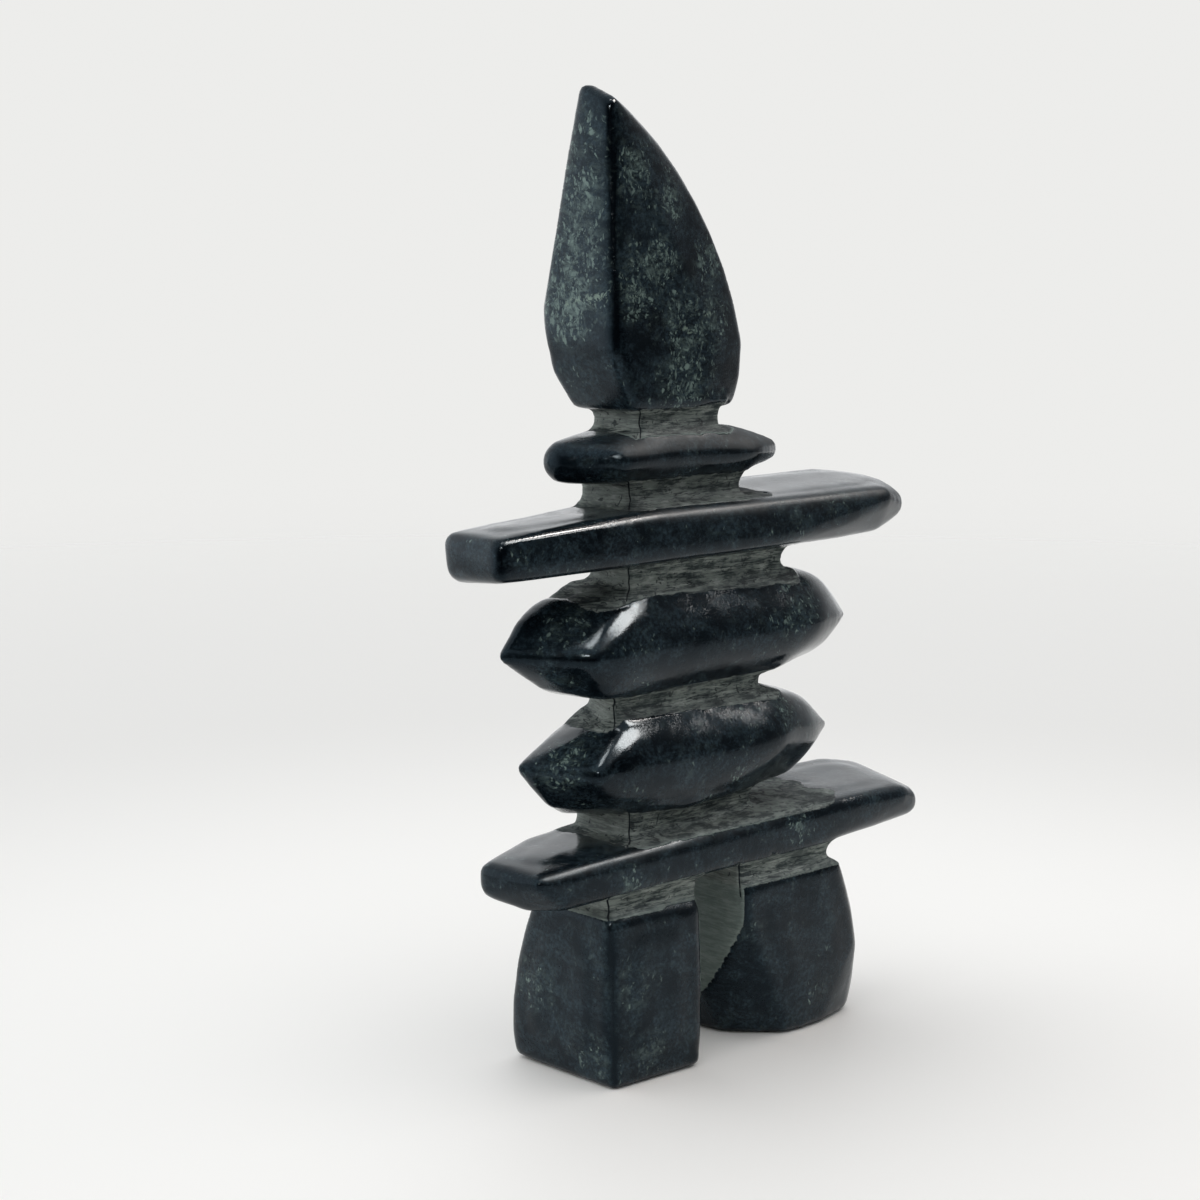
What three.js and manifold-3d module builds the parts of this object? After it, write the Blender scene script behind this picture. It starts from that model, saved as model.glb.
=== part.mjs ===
// Stone cairn carved from one block of dark serpentine: two legs with a sawn slot between them,
// a base slab, two lens-shaped body stones, a long arms slab, a small neck stone and a tall
// pointed head. Filed grooves part one stone from the next, and the block is never cut through,
// so the whole cairn is a single solid. Millimetres, +Z up, the front faces -Y.

import * as THREE from 'three';
import { ConvexGeometry } from 'three/addons/geometries/ConvexGeometry.js';
import { mergeVertices } from 'three/addons/utils/BufferGeometryUtils.js';
import Module from 'manifold-3d';

const wasm = await Module();
wasm.setup();

// ---- Driving dimensions

const HEIGHT = 191; // floor to the tip of the head
const DEPTH = 30; // thickness of the sawn block, front to back
const SLOT = { left: -12, width: 11.8 }; // sawn slot between the legs

const FRONT = -DEPTH / 2;
const BACK = DEPTH / 2;
const SLOT_RIGHT = SLOT.left + SLOT.width;

// Heights at which one stone ends and the next begins, bottom and top of each stone
const LEG = { top: 34 }; // stands on the floor, at height 0
const BASE = { bottom: 38, top: 47 };
const LOWER_BODY = { bottom: 51, ridge: 61.5, top: 71 };
const UPPER_BODY = { bottom: 75.5, ridge: 84, top: 96 };
const ARMS = { bottom: 100.5, top: 111.5 };
const NECK_STONE = { bottom: 115.8, ridge: 120.3, top: 125.6 };
const HEAD = { bottom: 129.5, widest: 142, top: HEIGHT };

const BALL_SECTORS = 12; // points round a ball, and twice its rings
const ARC_STEPS = 4; // steps round each corner of a groove
const GROOVE_STEPS = 8; // steps down the hollow profile of a groove

const SERPENTINE = new THREE.MeshStandardMaterial({
  name: 'serpentine',
  color: 0x11181c,
  roughness: 0.25,
  metalness: 0,
});

// ---- Shape helpers

// A closed three.js geometry as a solid that can be joined and cut
function solid(geometry) {
  const bare = geometry.clone();
  bare.deleteAttribute('normal');
  bare.deleteAttribute('uv');
  const welded = mergeVertices(bare, 1e-4);
  const vertProperties = new Float32Array(welded.attributes.position.array);
  const triVerts = new Uint32Array(welded.index.array);
  return new wasm.Manifold(new wasm.Mesh({ numProp: 3, vertProperties, triVerts }));
}

// Points on a ball, pole to pole, so that a ball resting on the floor touches it with one point
function ballPoints([x, y, z, radius]) {
  const points = [];
  const rings = BALL_SECTORS / 2;
  for (let ring = 0; ring <= rings; ring++) {
    const polar = (Math.PI * ring) / rings;
    const atPole = ring === 0 || ring === rings;
    const count = atPole ? 1 : BALL_SECTORS;
    for (let sector = 0; sector < count; sector++) {
      const turn = (2 * Math.PI * sector) / count;
      const out = new THREE.Vector3(
        Math.sin(polar) * Math.cos(turn),
        Math.sin(polar) * Math.sin(turn),
        Math.cos(polar),
      );
      points.push(out.multiplyScalar(radius).add(new THREE.Vector3(x, y, z)));
    }
  }
  return points;
}

// A ground and polished stone: the skin stretched over balls at its corners, each [x, y, z, radius]
function stone(balls) {
  return solid(new ConvexGeometry(balls.flatMap(ballPoints)));
}

// A filed neck between two stones. The corners of its plan are arcs of radius `round` about the
// points of `plan` (counter-clockwise), and the hollow profile spreads by `flare` at both ends.
function groove({ bottom, top, plan, round, flare }) {
  const positions = [];
  const perRing = plan.length * (ARC_STEPS + 1);
  for (let step = 0; step <= GROOVE_STEPS; step++) {
    const angle = Math.PI * (step / GROOVE_STEPS - 0.5);
    const z = THREE.MathUtils.lerp(bottom, top, (Math.sin(angle) + 1) / 2);
    const radius = round + flare * (1 - Math.cos(angle));
    plan.forEach(([x, y], corner) => {
      const [px, py] = plan[(corner + plan.length - 1) % plan.length];
      const [nx, ny] = plan[(corner + 1) % plan.length];
      const from = Math.atan2(y - py, x - px) - Math.PI / 2;
      let sweep = Math.atan2(ny - y, nx - x) - Math.PI / 2 - from;
      sweep -= 2 * Math.PI * Math.floor(sweep / (2 * Math.PI));
      for (let i = 0; i <= ARC_STEPS; i++) {
        const turn = from + (sweep * i) / ARC_STEPS;
        positions.push(x + radius * Math.cos(turn), y + radius * Math.sin(turn), z);
      }
    });
  }
  const index = [];
  for (let step = 0; step < GROOVE_STEPS; step++) {
    for (let i = 0; i < perRing; i++) {
      const a = step * perRing + i;
      const b = step * perRing + ((i + 1) % perRing);
      index.push(a, b, b + perRing, a, b + perRing, a + perRing);
    }
  }
  const last = GROOVE_STEPS * perRing;
  for (let i = 1; i < perRing - 1; i++) {
    index.push(0, i + 1, i);
    index.push(last, last + i, last + i + 1);
  }
  const geometry = new THREE.BufferGeometry();
  geometry.setAttribute('position', new THREE.Float32BufferAttribute(positions, 3));
  geometry.setIndex(index);
  return solid(geometry);
}

// ---- The stones, bottom to top

function leftLeg() {
  const inner = SLOT.left - 1.4;
  return stone([
    [-35.8, FRONT + 1.7, LEG.top - 1.5, 1.5],
    [inner, FRONT + 1.7, LEG.top - 2.7, 1.5],
    [inner, 8.5, LEG.top - 2, 1.5],
    [-35.5, 7.2, LEG.top - 1.5, 1.6],
    [-35.2, 9.9, 26, 1.8],
    [-35.2, 11.9, 20, 1.8],
    [-35.4, FRONT + 1.6, 12, 2],
    [inner, FRONT + 1.3, 16, 1.6],
    [-35.2, 13.2, 12, 1.8],
    [inner, BACK - 2, 12, 1.6],
    [-35.2, 13.3, 5.5, 1.8],
    [-35.8, FRONT + 0.5, 0.8, 0.8],
    [inner - 0.9, FRONT + 0.2, 1.2, 1.2],
    [inner - 1.1, BACK - 3, 2, 2],
    [-35.0, 12.4, 2.2, 2.2],
  ]);
}

function rightLeg() {
  const inner = SLOT_RIGHT + 1.1;
  return stone([
    [inner, FRONT + 1.3, LEG.top - 1.3, 1.3],
    [28.0, FRONT + 1.7, LEG.top - 1.0, 1.5],
    [27.0, -7, LEG.top + 0.8, 1.2],
    [32.6, -9, LEG.top - 3.8, 2],
    [31.5, 8, LEG.top - 3, 2],
    [inner, 8, LEG.top - 2, 1.3],
    [inner, FRONT + 1.3, 27, 1.3],
    [31.6, FRONT + 3.0, 22, 2.5],
    [34.8, -9.5, 23, 2],
    [33.6, -11.6, 15, 2.5],
    [36.7, -9, 14, 2],
    [36.4, BACK - 3, 13, 2],
    [inner, BACK - 2, 12, 1.3],
    [inner + 0.8, -3, 9, 1.5],
    [36.7, -8.8, 6.5, 2],
    [36.3, BACK - 3.4, 5, 2],
    [4.4, 1.5, 1, 1],
    [5.2, -3.4, 1, 1],
    [7.8, -6.6, 1, 1],
    [14.0, FRONT + 2.4, 1.1, 1.1],
    [18.0, FRONT + 2.0, 1.2, 1.2],
    [24.4, FRONT + 2.4, 1.4, 1.4],
    [33.8, -10, 1.6, 1.6],
    [36.4, -8.2, 1.8, 1.8],
    [35, BACK - 4, 2.5, 2.5],
    [4.5, BACK - 3, 2, 2],
  ]);
}

function baseSlab() {
  const { bottom, top } = BASE;
  return stone([
    [-53.4, FRONT + 1.8, top - 3.5, 1.8],
    [-47.6, FRONT + 1.8, bottom + 1.0, 1.8],
    [-54.3, 0.2, top - 3.4, 2.0],
    [-53.5, 0.0, bottom + 2.7, 2.6],
    [-51.5, -8, bottom + 0.9, 2],
    [-37.0, 8.2, top - 3.0, 2.0],
    [-36.0, 6.0, bottom + 2.0, 2.0],
    [-10.0, 12.5, top - 2.2, 2.0],
    [-10.0, 11.5, bottom + 2.2, 2.0],
    [8.0, FRONT + 2.2, top - 1.6, 2.0],
    [34.5, FRONT + 2.2, top - 1.6, 2.2],
    [24.0, FRONT + 2.2, bottom + 2.2, 2.0],
    [49.5, FRONT + 3.2, top - 2.4, 2.6],
    [53.8, -9.6, 42.6, 3.5],
    [58.2, 9.0, top - 1.7, 2.6],
    [52.0, 12.2, top - 0.8, 2.6],
    [40.0, 12.4, top - 0.8, 2.6],
    [56.0, 9.0, bottom + 4.6, 3.0],
    [20.0, 12.5, bottom + 2.2, 2.0],
  ]);
}

function lowerBodyStone() {
  const { bottom, ridge, top } = LOWER_BODY;
  return stone([
    [-45.8, 0.5, ridge + 0.6, 1.2],
    [-36.8, FRONT + 3.4, ridge, 2.6],
    [12.0, FRONT + 3.2, ridge + 1.0, 3.0],
    [36.6, -1.5, ridge - 1, 1.2],
    [-30.0, 10.0, ridge, 2.6],
    [18.0, 11.5, ridge, 3.0],
    [-28.5, -9.0, top - 2.6, 2.6],
    [16.0, -7.0, top - 2.0, 2.4],
    [27.7, -2.0, top - 5.7, 2.2],
    [-31.5, 3.0, top - 4.6, 2.0],
    [-24.0, 6.0, top - 2.6, 2.4],
    [16.0, 6.5, top - 2.0, 2.6],
    [-30.3, -9.6, bottom + 4.6, 2.4],
    [-39.3, -1.0, bottom + 4.7, 2.0],
    [-13.0, -9.8, bottom + 2.2, 2.4],
    [1.0, -9.6, bottom + 3.2, 2.4],
    [11.0, -8.6, bottom + 5.4, 2.0],
    [28.6, -5.2, bottom + 8.6, 1.5],
    [24.6, -2.0, bottom + 2.5, 1.8],
    [29.0, -2.0, bottom + 5.5, 1.8],
    [16.0, 0.0, bottom + 2.2, 2.2],
    [-31.6, 4.0, bottom + 1.9, 2.4],
    [20.0, 8.0, bottom + 4.0, 2.6],
  ]);
}

function upperBodyStone() {
  const { bottom, ridge, top } = UPPER_BODY;
  return stone([
    [-50.2, 0.5, ridge + 0.2, 1.2],
    [-38.6, FRONT + 3.2, ridge, 2.8],
    [22.0, FRONT + 3.2, ridge + 0.5, 3.0],
    [42.0, -1.5, ridge - 0.4, 1.3],
    [-37.0, 10.0, ridge, 2.8],
    [23.0, 11.5, ridge, 3.0],
    [-26.5, -8.0, top - 3.2, 3.2],
    [20.0, -6.5, top - 2.6, 2.6],
    [25.0, -3.0, top - 3.4, 2.2],
    [31.5, -2.0, top - 6.0, 2.6],
    [-37.2, 1.5, top - 4.8, 2.4],
    [-45.6, 0.5, ridge + 4.8, 1.6],
    [-26.0, 7.0, top - 3.2, 3.2],
    [20.0, 6.5, top - 2.6, 2.6],
    [-33.6, -9.3, bottom + 2.2, 2.6],
    [-40.6, -0.5, bottom + 3.2, 2.0],
    [14.0, -8.6, bottom + 2.4, 2.4],
    [22.5, -4.5, bottom + 2.2, 1.8],
    [33.4, -2.0, bottom + 4.0, 2.2],
    [-33.8, 4.5, bottom + 1.2, 2.2],
    [20.0, 7.0, bottom + 2.8, 2.6],
  ]);
}

function armsSlab() {
  const { bottom, top } = ARMS;
  return stone([
    [-62.3, FRONT + 2.2, top - 4.4, 1.7],
    [-62.3, FRONT + 2.2, bottom + 1.4, 1.7],
    [-60.7, 1.8, top - 5.0, 2.2],
    [-59.6, 1.2, bottom + 1.4, 3.0],
    [-24.0, FRONT + 2.8, top - 2.8, 2.4],
    [-34.0, 8.0, top - 4.2, 2.0],
    [-30.0, 7.0, bottom + 2.0, 2.0],
    [44.0, FRONT + 4.4, top - 2.6, 2.6],
    [10.0, FRONT + 2.4, bottom + 2.8, 2.2],
    [30.0, FRONT + 3.6, top - 6.0, 2.2],
    [46.0, -6.4, bottom + 3.0, 2.4],
    [53.2, -5.0, top - 4.7, 3.4],
    [58.4, 3.6, top - 3.5, 3.4],
    [58.0, 6.5, top - 2.0, 2.5],
    [58.0, 3.0, bottom + 3.6, 3.2],
    [56.0, 9.4, top - 1.6, 2.6],
    [48.0, 12.2, top - 0.6, 2.6],
    [48.0, 11.5, bottom + 3.4, 2.4],
    [10.0, 12.6, top - 1.2, 2.2],
    [10.0, 12.0, bottom + 2.4, 2.2],
  ]);
}

function neckStone() {
  const { bottom, ridge, top } = NECK_STONE;
  return stone([
    [-35.1, 0.3, ridge - 0.2, 4.3],
    [-28.8, -8.6, ridge + 0.4, 3.4],
    [6.0, -8.6, ridge + 0.2, 3.0],
    [19.2, -1.0, ridge - 0.4, 2.6],
    [-26.0, 9.0, ridge, 3.2],
    [8.0, 8.6, ridge, 3.0],
    [-24.5, -4.5, top - 1.6, 1.6],
    [6.0, -4.0, top - 1.6, 1.6],
    [-24.0, 4.5, top - 1.6, 1.6],
    [6.0, 4.5, top - 1.6, 1.6],
    [-28.0, -6.4, bottom + 2.0, 2.0],
    [5.0, -5.5, bottom + 1.8, 1.8],
    [-28.3, 5.5, bottom + 2.0, 2.0],
    [8.0, 5.0, bottom + 1.8, 1.8],
  ]);
}

// The right edge of the head is an arc from near the tip down to the widest level; its left face
// is flat, and the block thins towards the tip.
function head() {
  const { bottom, widest, top } = HEAD;
  const edgeRadius = 2.2;
  const tipRadius = 1.4;
  const chordStart = new THREE.Vector2(-29.7, top - 3.3);
  const chordEnd = new THREE.Vector2(4.3, widest);
  const sagitta = 6.1;
  const chord = chordEnd.clone().sub(chordStart);
  const arcRadius = (chord.lengthSq() / 4 + sagitta ** 2) / (2 * sagitta);
  const outward = new THREE.Vector2(-chord.y, chord.x).normalize();
  const centre = chordStart.clone().lerp(chordEnd, 0.5).addScaledVector(outward, sagitta - arcRadius);
  const half = Math.asin(chord.length() / 2 / arcRadius);
  const outwardAngle = outward.angle();
  const balls = [];
  const steps = 8;
  for (let i = 0; i <= steps; i++) {
    const angle = outwardAngle + half * (1 - (2 * i) / steps);
    const x = centre.x + arcRadius * Math.cos(angle);
    const z = centre.y + arcRadius * Math.sin(angle);
    const radius = i === 0 ? tipRadius : edgeRadius;
    balls.push([x, THREE.MathUtils.mapLinear(i, 0, steps, -4.0, -5.5), z, radius]);
    balls.push([x, THREE.MathUtils.mapLinear(i, 0, steps, -2.5, 4.5), z, radius]);
  }
  return stone([
    ...balls,
    [-30.4, -7.4, top - 4.4, 1.8],
    [-30.9, -1.8, top - 1.9, 1.9],
    [-30.2, -8.6, widest - 0.6, 1.8],
    [-30.2, 9.2, widest + 7, 1.8],
    [-30.0, 9.0, widest + 2.5, 1.8],
    [-28.9, 8.2, widest - 4.5, 1.8],
    [-25.4, -8.4, bottom + 1.5, 1.5],
    [-25.9, 6.5, bottom + 1.5, 1.5],
    [3.6, -5.5, widest - 7, edgeRadius],
    [3.4, 4.5, widest - 7, edgeRadius],
    [2.8, -5.5, bottom + 1.8, 1.8],
    [2.6, 4.0, bottom + 1.8, 1.8],
    [-4.2, -8.2, widest, 1.8],
    [-8.4, -8.4, bottom + 1.5, 1.5],
  ]);
}

// ---- The filed grooves, bottom to top

function legGrooves() {
  const profile = { bottom: LEG.top - 2, top: BASE.bottom + 1.5, round: 1.2, flare: 1.6 };
  return [
    groove({
      ...profile,
      plan: [[-34.2, -11.6], [SLOT.left, -11.6], [SLOT.left, 6.5], [-34.2, 5.5]],
    }),
    groove({
      ...profile,
      plan: [[SLOT_RIGHT, -12.0], [25.5, -12.0], [26.5, 6.0], [SLOT_RIGHT, 6.5]],
    }),
  ];
}

function stoneGrooves() {
  return [
    // base slab to lower body stone
    groove({
      bottom: BASE.top - 2, top: LOWER_BODY.bottom + 3.5, round: 1.5, flare: 2.6,
      plan: [[-24.6, -7.0], [8.0, -6.0], [12.0, 4.5], [-24.5, 6.3]],
    }),
    // lower body stone to upper body stone
    groove({
      bottom: LOWER_BODY.top - 2.5, top: UPPER_BODY.bottom + 2, round: 1.5, flare: 2.4,
      plan: [[-28.4, -6.6], [11.2, -6.0], [11.0, 5.0], [-23.0, 4.2]],
    }),
    // upper body stone to arms slab
    groove({
      bottom: UPPER_BODY.top - 2.5, top: ARMS.bottom + 1.5, round: 1.5, flare: 2.6,
      plan: [[-25.6, -7.6], [16.2, -6.8], [15.0, 5.5], [-22.5, 4.4]],
    }),
    // arms slab to neck stone
    groove({
      bottom: ARMS.top - 1.5, top: NECK_STONE.bottom + 1.5, round: 1.2, flare: 2.2,
      plan: [[-23.0, -5.6], [6.0, -5.2], [6.0, 5.0], [-23.4, 6.4]],
    }),
    // neck stone to head
    groove({
      bottom: NECK_STONE.top - 1.2, top: HEAD.bottom + 1.5, round: 1.2, flare: 2.4,
      plan: [[-21.4, -6.4], [-2.0, -6.4], [-2.0, 4.6], [-21.4, 5.0]],
    }),
  ];
}

// The saw kerf that parts the legs, up to the underside of the base slab
function slot() {
  const height = BASE.bottom + 0.6;
  const box = new THREE.BoxGeometry(SLOT.width, 2 * DEPTH, 2 * height);
  box.translate(SLOT.left + SLOT.width / 2, 0, 0);
  return solid(box);
}

// ---- Assembly

function asGeometry(manifold) {
  const mesh = manifold.getMesh();
  const geometry = new THREE.BufferGeometry();
  geometry.setAttribute('position', new THREE.BufferAttribute(mesh.vertProperties, 3));
  geometry.setIndex(new THREE.BufferAttribute(mesh.triVerts, 1));
  return geometry;
}

function join(solids) {
  return solids.reduce((joined, next) => joined.add(next));
}

const legs = join([leftLeg(), rightLeg(), ...legGrooves()]).subtract(slot());
const whole = join([
  legs,
  baseSlab(),
  lowerBodyStone(),
  upperBodyStone(),
  armsSlab(),
  neckStone(),
  head(),
  ...stoneGrooves(),
]);

const geometry = asGeometry(whole);
geometry.computeBoundingBox();
const middle = geometry.boundingBox.getCenter(new THREE.Vector3());
geometry.translate(-middle.x, -middle.y, -geometry.boundingBox.min.z);
geometry.computeVertexNormals();

const cairn = new THREE.Mesh(geometry, SERPENTINE);
cairn.name = 'cairn';

const group = new THREE.Group();
group.add(cairn);

export default group;
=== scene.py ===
"""Stone cairn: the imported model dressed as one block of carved, polished and filed serpentine."""

import math

import bmesh
import bpy
import numpy as np
from bpy.props import FloatProperty, FloatVectorProperty, IntProperty, PointerProperty
from mathutils import Matrix, Vector, noise


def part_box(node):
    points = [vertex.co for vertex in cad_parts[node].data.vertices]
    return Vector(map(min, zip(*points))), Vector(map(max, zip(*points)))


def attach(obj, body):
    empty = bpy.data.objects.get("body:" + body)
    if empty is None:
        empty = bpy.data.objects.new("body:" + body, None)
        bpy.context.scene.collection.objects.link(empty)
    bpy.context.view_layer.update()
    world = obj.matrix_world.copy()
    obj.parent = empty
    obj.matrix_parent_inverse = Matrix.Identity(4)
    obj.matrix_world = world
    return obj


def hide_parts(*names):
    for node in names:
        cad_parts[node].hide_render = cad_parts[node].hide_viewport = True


bl_info = {
    "name": "Stone cairn",
    "version": (1, 0, 0),
    "blender": (4, 5, 0),
    "location": "View3D > Sidebar > Stone cairn",
    "description": "Carves, files and polishes a serpentine cairn around its packed model, and lights it",
    "category": "Object",
}

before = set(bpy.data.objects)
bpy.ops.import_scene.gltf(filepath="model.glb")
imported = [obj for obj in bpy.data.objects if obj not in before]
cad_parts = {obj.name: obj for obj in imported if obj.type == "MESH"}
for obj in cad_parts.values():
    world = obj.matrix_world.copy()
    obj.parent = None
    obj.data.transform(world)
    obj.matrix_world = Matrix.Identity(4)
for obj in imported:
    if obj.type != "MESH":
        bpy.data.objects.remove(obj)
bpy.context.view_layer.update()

MM = 0.001

# ---- Where things are on the stone, in millimetres, +Z up, the front faces -Y

NECK_HALF = 2.1  # half the height of a filed neck
SLOT_TOP = 38.6  # the saw slot between the legs ends here
LEGS_TOP = 34.2  # the legs' duller finish ends here
CLUSTER_GAP = 4.0  # a wider gap along X parts two necks cut at one height
CRACK_DEPTH = 0.25

STONE_IOR = 1.3

# What the mesh tells the finish at each point. Two marks are painted light: the paler tone of filed faces
# that look left, and the dark reflection along the arrises that face the camera's side
MARKS = ("filed", "pale", "vein", "crack", "dull", "chalky", "arris")

# One row a neck: the height of its waist, then how far the filed finish runs out from it over the
# stone below, to the left, right, front and back, and how far down that stone's shoulders
NECKS = (
    (36.0, (1.3, 1.6, 1.3, 1.8), 0.8),
    (49.0, (3.4, 16.0, 6.0, 4.0), 1.5),
    (73.2, (6.0, 3.0, 1.6, 3.5), 2.6),
    (98.2, (10.5, 4.0, 1.4, 5.0), 4.5),
    (113.6, (3.0, 5.0, 4.0, 4.0), 1.5),
    (127.5, (2.5, 5.0, 2.0, 3.0), 1.2),
)

# The lens-shaped stones: lowest and highest, left and right ends
LENS_STONES = (
    (53.0, 70.0, -41.0, 33.0),
    (78.0, 95.0, -45.0, 39.0),
    (117.0, 125.0, -31.0, 18.0),
)

# Shell-shaped gouges beside the necks: middle, radius of the tool and depth
GOUGES = (
    ((15.8, -8.6, 97.4), 4.2, 0.9),
    ((8.2, -8.0, 97.6), 2.6, 0.35),
    ((9.4, -5.6, 113.2), 2.8, 0.7),
    ((12.6, -6.4, 73.0), 2.6, 0.6),
    ((-33.0, 2.0, 96.2), 3.4, 0.5),
    ((20.0, -5.0, 48.6), 3.2, 0.3),
)

# Upper front arrises where the polish is rubbed dull: height, the X where the rubbing is whole and
# where it has ended, and how dull it is, where the legs are 1
RUBBED = (
    (45.0, 8.0, 22.0, 2.5),
    (110.5, -20.0, -38.0, 2.5),
    (123.0, 40.0, 60.0, 5.0),
)

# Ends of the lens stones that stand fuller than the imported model: middle, radius and height
SWELLINGS = (
    ((-39.0, 0.0, 92.5), 10.0, 1.3),
    ((30.0, -1.0, 87.0), 15.0, 1.3),
    ((24.0, -1.0, 62.5), 15.0, 1.3),
)

# Clouds of pale crystals: middle, radius and strength
PALE_CLOUDS = (
    ((-30.4, 3.0, 151.0), 10.0, 1.2),
    ((-30.4, 0.0, 160.0), 9.0, 1.0),
    ((-30.4, -1.0, 171.0), 9.0, 0.7),
    ((-30.4, 0.0, 180.0), 8.0, 0.55),
    ((-24.0, -9.0, 154.0), 8.0, 0.95),
    ((-18.0, -9.0, 158.0), 6.0, 0.85),
    ((-15.0, -9.0, 170.0), 5.5, 0.9),
    ((-25.0, -9.0, 174.0), 7.0, 0.85),
    ((-4.0, -9.0, 158.0), 5.5, 0.8),
    ((-12.0, -9.0, 146.0), 7.5, 0.9),
    ((-11.0, -9.0, 136.0), 9.0, 0.75),
    ((-4.0, -9.0, 147.0), 7.0, 0.6),
    ((-4.2, -9.0, 140.6), 2.2, 1.1),
    ((20.0, -12.0, 91.0), 8.0, 0.35),
    ((14.0, -12.0, 86.0), 7.0, 0.28),
    ((18.0, -10.0, 67.0), 6.0, 0.5),
    ((-39.0, -4.0, 63.5), 6.0, 0.6),
    ((-38.0, -5.0, 89.0), 6.5, 0.4),
    ((36.0, -10.0, 90.0), 6.0, 0.45),
    ((30.0, -8.0, 62.0), 6.0, 0.45),
    ((0.7, -12.0, 57.7), 2.6, 0.6),
    ((29.0, -13.6, 110.5), 5.5, 0.45),
    ((13.9, -13.6, 106.7), 7.0, 0.2),
    ((-31.0, -14.6, 40.9), 3.5, 0.7),
    ((16.8, -14.6, 43.0), 4.0, 0.6),
    ((-36.0, 7.0, 17.0), 6.0, 0.55),
    ((-36.0, -9.0, 6.0), 6.0, 0.35),
    ((-26.0, -14.6, 6.0), 4.5, 0.75),
    ((-30.0, -14.6, 20.0), 7.0, 0.35),
    ((22.0, -11.6, 7.0), 5.0, 0.35),
    ((4.0, -13.6, 24.0), 4.0, 0.35),
)

# Pale veins across the head, each a bent line of points, with its half width
VEINS = (
    (((-31.0, -9.0, 152.4), (-20.8, -9.1, 150.2), (-15.5, -9.1, 146.6), (-10.0, -9.1, 144.2)), 1.1),
    (((-14.0, -9.1, 149.0), (-4.0, -9.1, 147.4), (3.0, -9.1, 145.6)), 0.8),
    (((-30.8, -8.0, 151.0), (-30.8, 4.0, 150.2)), 1.2),
)

# ---- Where things are around the stone, in metres and degrees, azimuth 0 in front and 90 on the right

MIDDLE = (0.0, 0.0, 0.1)  # the lamps point here
CAMERA_TARGET = (-0.0173, 0.0087, 0.0912)
FLOOR_SHIFT = 0.45  # how far behind the stone, seen from the camera, the floor's middle lies
FLOOR_RIM = (0.6, 0.95)  # shares of the floor's radius between which its rim fades
FLOOR_FADE = (0.3, 1.3)  # distances from the stone between which the floor fades into the backdrop
# The floor's greying away from the stone is painted shade, for the light that falls off there
FLOOR_GREYS = (0.08, 0.38)  # distances from the stone between which the floor turns greyer
LAMP_DISTANCE = 0.9
LAMP_COLOUR = (1.0, 0.8, 0.68)
ROOM_COLOUR = (0.97, 0.985, 1.0)

# The lamps: name, azimuth, elevation and size. The setting of the same name holds the power
LAMPS = (
    ("softbox", 41.0, 48.0, (0.25, 0.34)),
    ("side_lamp", 68.0, 49.0, (0.12, 0.14)),
    ("top_lamp", -16.0, 70.0, (0.3, 0.12)),
    ("front_lamp", -42.8, 24.0, (0.16, 0.08)),
)

# How light the room's walls are at each azimuth
WALLS = (
    (-180, 0.72),
    (-150, 1.0),
    (-112, 1.0),
    (-78, 0.25),
    (-62, 0.005),
    (36, 0.005),
    (45, 0.13),
    (58, 0.18),
    (88, 0.2),
    (108, 0.36),
    (122, 0.72),
    (180, 0.72),
)


# ---- Reading and smoothing the surface


def read_points(mesh):
    """The mesh's points, in millimetres."""
    points = np.empty(len(mesh.vertices) * 3)
    mesh.vertices.foreach_get("co", points)
    return points.reshape(-1, 3) / MM


def write_points(mesh, points):
    mesh.vertices.foreach_set("co", (points * MM).ravel())
    mesh.update()


def edge_pairs(mesh):
    pairs = np.empty(len(mesh.edges) * 2, dtype=np.int64)
    mesh.edges.foreach_get("vertices", pairs)
    return pairs.reshape(-1, 2)


def point_normals(mesh):
    normals = np.empty(len(mesh.vertices) * 3)
    mesh.vertex_normals.foreach_get("vector", normals)
    return normals.reshape(-1, 3)


def pull_to_neighbours(values, pairs, amount):
    """Moves each value, one a point, by amount towards the mean of its neighbours' values."""
    count = len(values)
    a, b = pairs.T
    joined = np.bincount(a, minlength=count) + np.bincount(b, minlength=count)
    if values.ndim == 1:
        total = np.bincount(a, values[b], count) + np.bincount(b, values[a], count)
        return values + amount * (total / joined - values)
    columns = [
        np.bincount(a, column[b], count) + np.bincount(b, column[a], count) for column in values.T
    ]
    return values + amount * (np.stack(columns, axis=1) / joined[:, None] - values)


def smoothed(points, pairs, passes, keep_size=True):
    """Rounds the surface off. With keep_size, each pull in is followed by one out, against shrinking."""
    inward, outward = 0.5, -0.52
    for _ in range(passes):
        points = pull_to_neighbours(points, pairs, inward)
        if keep_size:
            points = pull_to_neighbours(points, pairs, outward)
    return points


def ramp(values, start, end):
    """0 at start and 1 at end, with soft shoulders. start may be the larger."""
    t = np.clip((values - start) / (end - start), 0.0, 1.0)
    return t * t * (3.0 - 2.0 * t)


def ripple(points, length, seed):
    """Smooth noise about -1 to 1. length is its wavelength in millimetres, one number or one an axis."""
    shift = np.array([17.3, 5.1, 29.7]) * (seed + 1)
    return np.array([noise.noise(place) for place in (points / length + shift).tolist()])


# ---- Necks: where the stone was filed


def waists(mesh):
    """The boxes that the block fills at the waist of each neck: (row of NECKS, low x y, high x y)."""
    points = read_points(mesh)
    pairs = edge_pairs(mesh)
    found = []
    for row, (height, _, _) in enumerate(NECKS):
        a, b = points[pairs[:, 0]], points[pairs[:, 1]]
        crossing = (a[:, 2] - height) * (b[:, 2] - height) < 0
        a, b = a[crossing], b[crossing]
        share = (height - a[:, 2]) / (b[:, 2] - a[:, 2])
        cut = a[:, :2] + share[:, None] * (b[:, :2] - a[:, :2])
        cut = cut[np.argsort(cut[:, 0])]
        gaps = np.nonzero(np.diff(cut[:, 0]) > CLUSTER_GAP)[0] + 1
        for cluster in np.split(cut, gaps):
            found.append((row, cluster.min(axis=0), cluster.max(axis=0)))
    return found


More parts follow.
